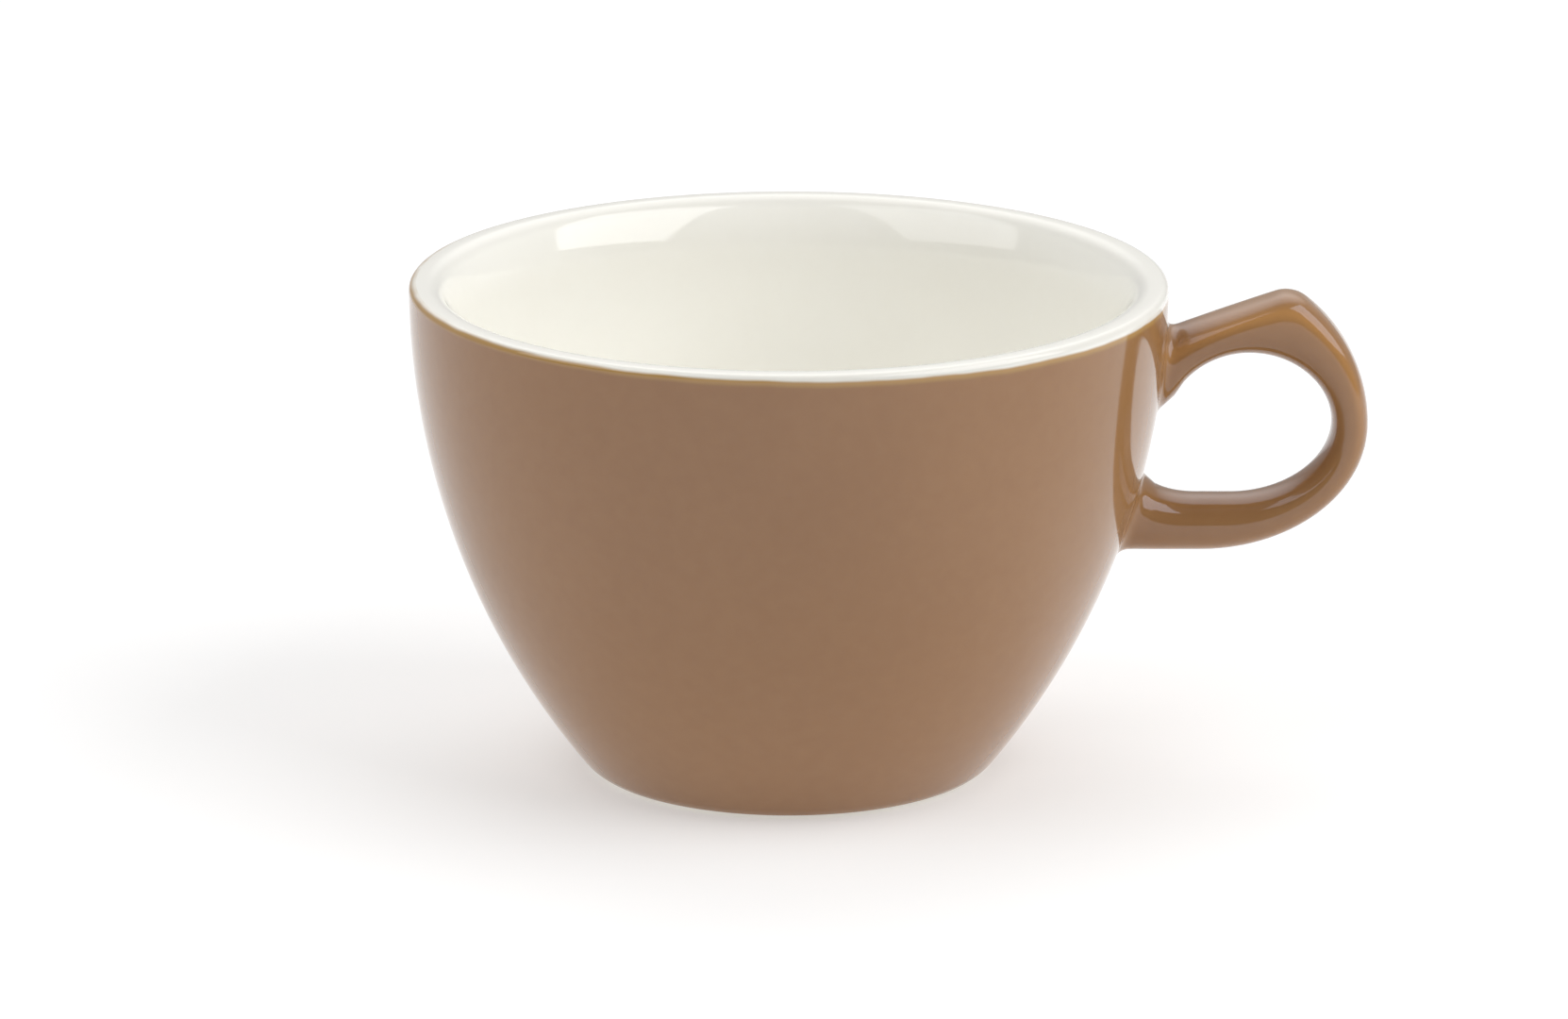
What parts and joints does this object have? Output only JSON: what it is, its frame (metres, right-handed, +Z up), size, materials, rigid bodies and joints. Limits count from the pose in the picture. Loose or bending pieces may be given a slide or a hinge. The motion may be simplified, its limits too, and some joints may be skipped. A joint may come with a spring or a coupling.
{
  "type": "cappuccino cup",
  "caption": "Wide round cappuccino cup of thick stoneware with a looped handle, brown glaze outside and cream glaze inside.",
  "frame": {"origin": "on the table, at the middle of the foot ring, on the axis of the bowl", "axes": "+Z up along the axis of the bowl, +X from the axis to the handle, +Y to the right of someone holding the cup by the handle and facing the bowl, away from the viewer of the picture"},
  "size_m": [0.1428, 0.1128, 0.0745],
  "materials": {
    "clay": "matte",
    "slip": "matte",
    "cream_glaze": "gloss",
    "brown_glaze": "gloss"
  },
  "bodies": {
    "root": {"cup_body": "clay", "handle": "clay", "upper_joint_slip": "slip", "lower_joint_slip": "slip", "inner_glaze": "cream_glaze", "outer_glaze": "brown_glaze", "handle_glaze": "brown_glaze", "base_glaze": "cream_glaze"}
  },
  "joints": []
}
